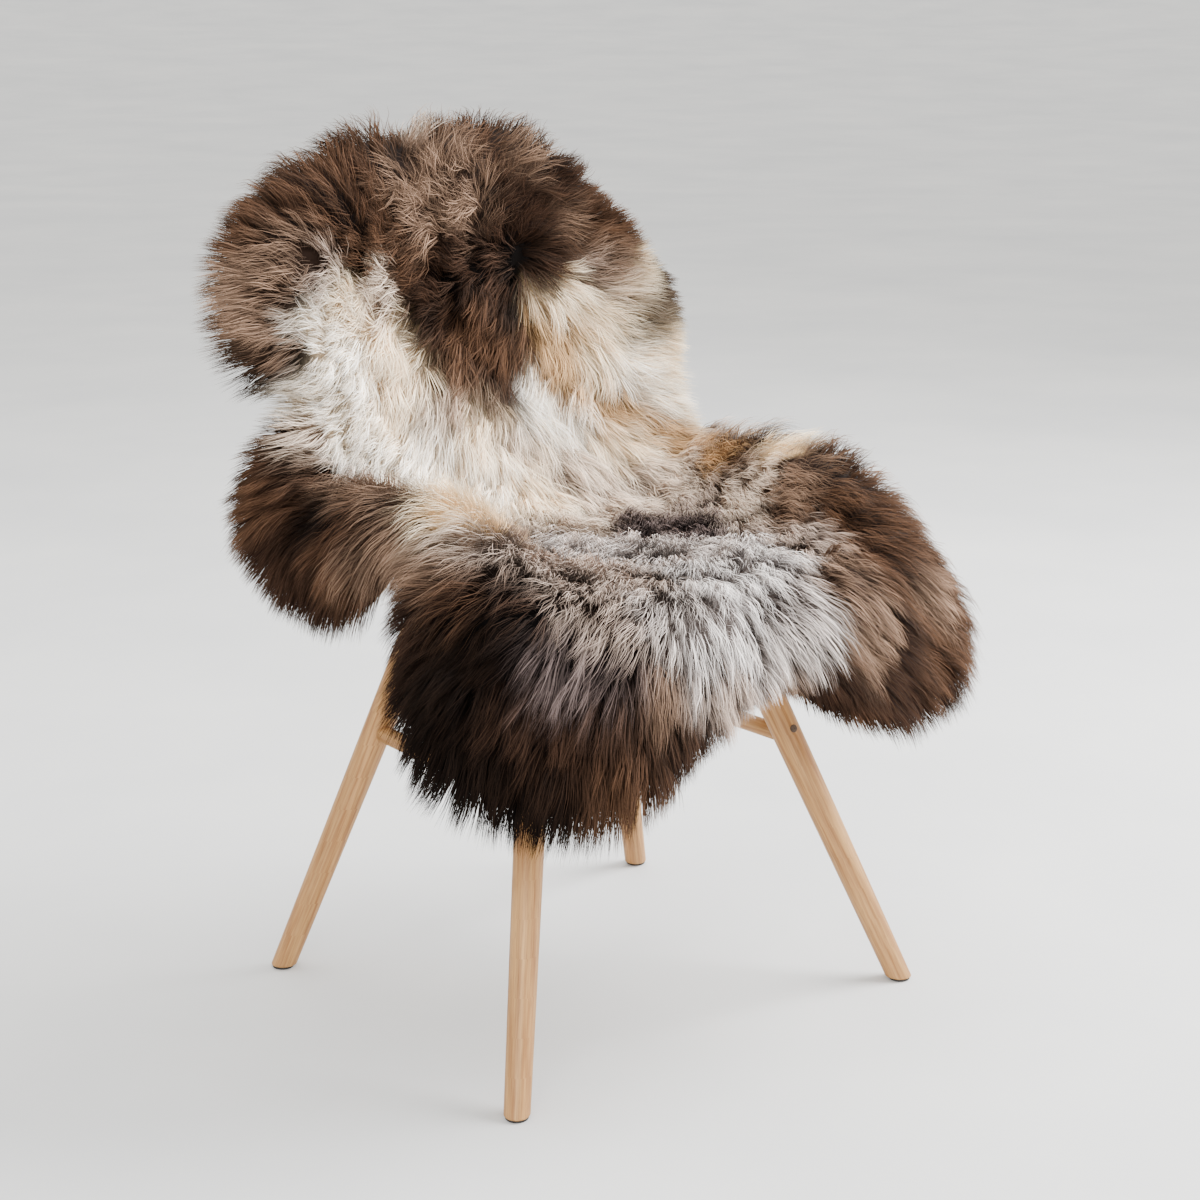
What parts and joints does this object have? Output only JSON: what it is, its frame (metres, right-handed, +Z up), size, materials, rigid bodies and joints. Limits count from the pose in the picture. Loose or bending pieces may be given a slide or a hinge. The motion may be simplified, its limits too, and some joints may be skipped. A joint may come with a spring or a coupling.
{
  "type": "sheepskin draped over its shell chair",
  "caption": "Long-wool sheepskin draped over a plain shell chair with splayed wooden legs, covering the back and seat and hanging over the front and both sides.",
  "frame": {"origin": "on the floor, under the middle of the whole object's box", "axes": "+Z up, the chair faces -Y, the sitter's right is -X"},
  "size_m": [0.673, 0.6192, 0.8898],
  "materials": {
    "wool": "long soft pile, brown, cream and silver grey",
    "lock_tips": "long soft pile, dark brown",
    "shell": "pale moulded plastic, satin",
    "oak": "oak, oiled satin",
    "glides": "dark, matte"
  },
  "bodies": {
    "root": {"leg_back_right": "oak", "glide_back_right": "glides", "leg_front_right": "oak", "glide_front_right": "glides", "leg_front_left": "oak", "glide_front_left": "glides", "leg_back_left": "oak", "glide_back_left": "glides", "rung_right_side": "oak", "rung_left_side": "oak", "rung_back": "oak", "seat_shell": "shell", "batten_front": "oak", "batten_back": "oak", "sheepskin": "wool", "locks_hem_1": "lock_tips", "locks_hem_2": "lock_tips", "locks_hem_3": "lock_tips", "locks_hem_4": "lock_tips", "locks_left_1": "lock_tips", "locks_left_2": "lock_tips", "locks_left_3": "lock_tips", "locks_left_4": "lock_tips", "locks_nape_1": "lock_tips", "locks_nape_2": "lock_tips", "locks_right_1": "lock_tips", "locks_right_2": "lock_tips", "locks_right_3": "lock_tips", "locks_right_4": "lock_tips", "locks_right_5": "lock_tips"}
  },
  "joints": []
}
